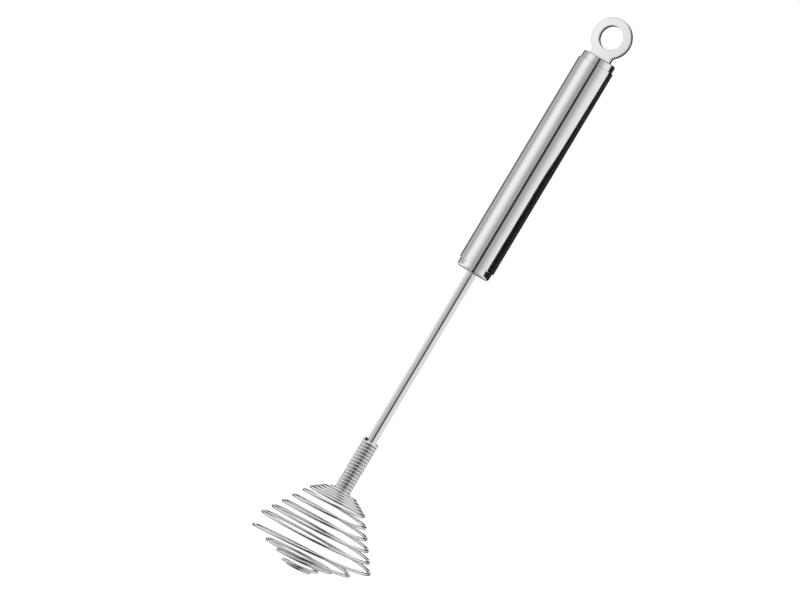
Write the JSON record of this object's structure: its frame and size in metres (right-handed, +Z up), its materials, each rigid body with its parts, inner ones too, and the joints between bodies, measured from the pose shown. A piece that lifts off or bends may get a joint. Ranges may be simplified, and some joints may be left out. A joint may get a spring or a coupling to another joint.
{
  "type": "spiral whisk",
  "caption": "Steel spiral whisk: a tubular handle with a hanging ring, a thin shaft, and one coiled wire that opens into a springy cone-shaped head.",
  "frame": {"origin": "centre of the round eye in the hanging ring, midway between the ring's two faces", "axes": "+Z up along the whisk's axis from the wire head to the ring, as it hangs; -Y out of the ring's front face; +X to the right of someone who looks at that face"},
  "size_m": [0.0537, 0.0542, 0.2706],
  "materials": {
    "brushed_tube": "fine brushed round the tube",
    "turned_cap": "turned, smooth",
    "satin_ring": "satin",
    "polished_rod": "polished",
    "spring_wire": "bright drawn"
  },
  "bodies": {
    "handle": {"handle_tube": "brushed_tube", "top_cap": "turned_cap", "hanging_ring": "satin_ring", "bottom_cap": "turned_cap", "shaft": "polished_rod"},
    "spiral": {"spiral_wire": "spring_wire"}
  },
  "joints": [
    {"name": "spiral_press", "type": "slide", "parent": "handle", "child": "spiral", "axis": [0, 0, 1], "range_m": [0, 0.015], "stiffness_N_per_m": 60}
  ]
}
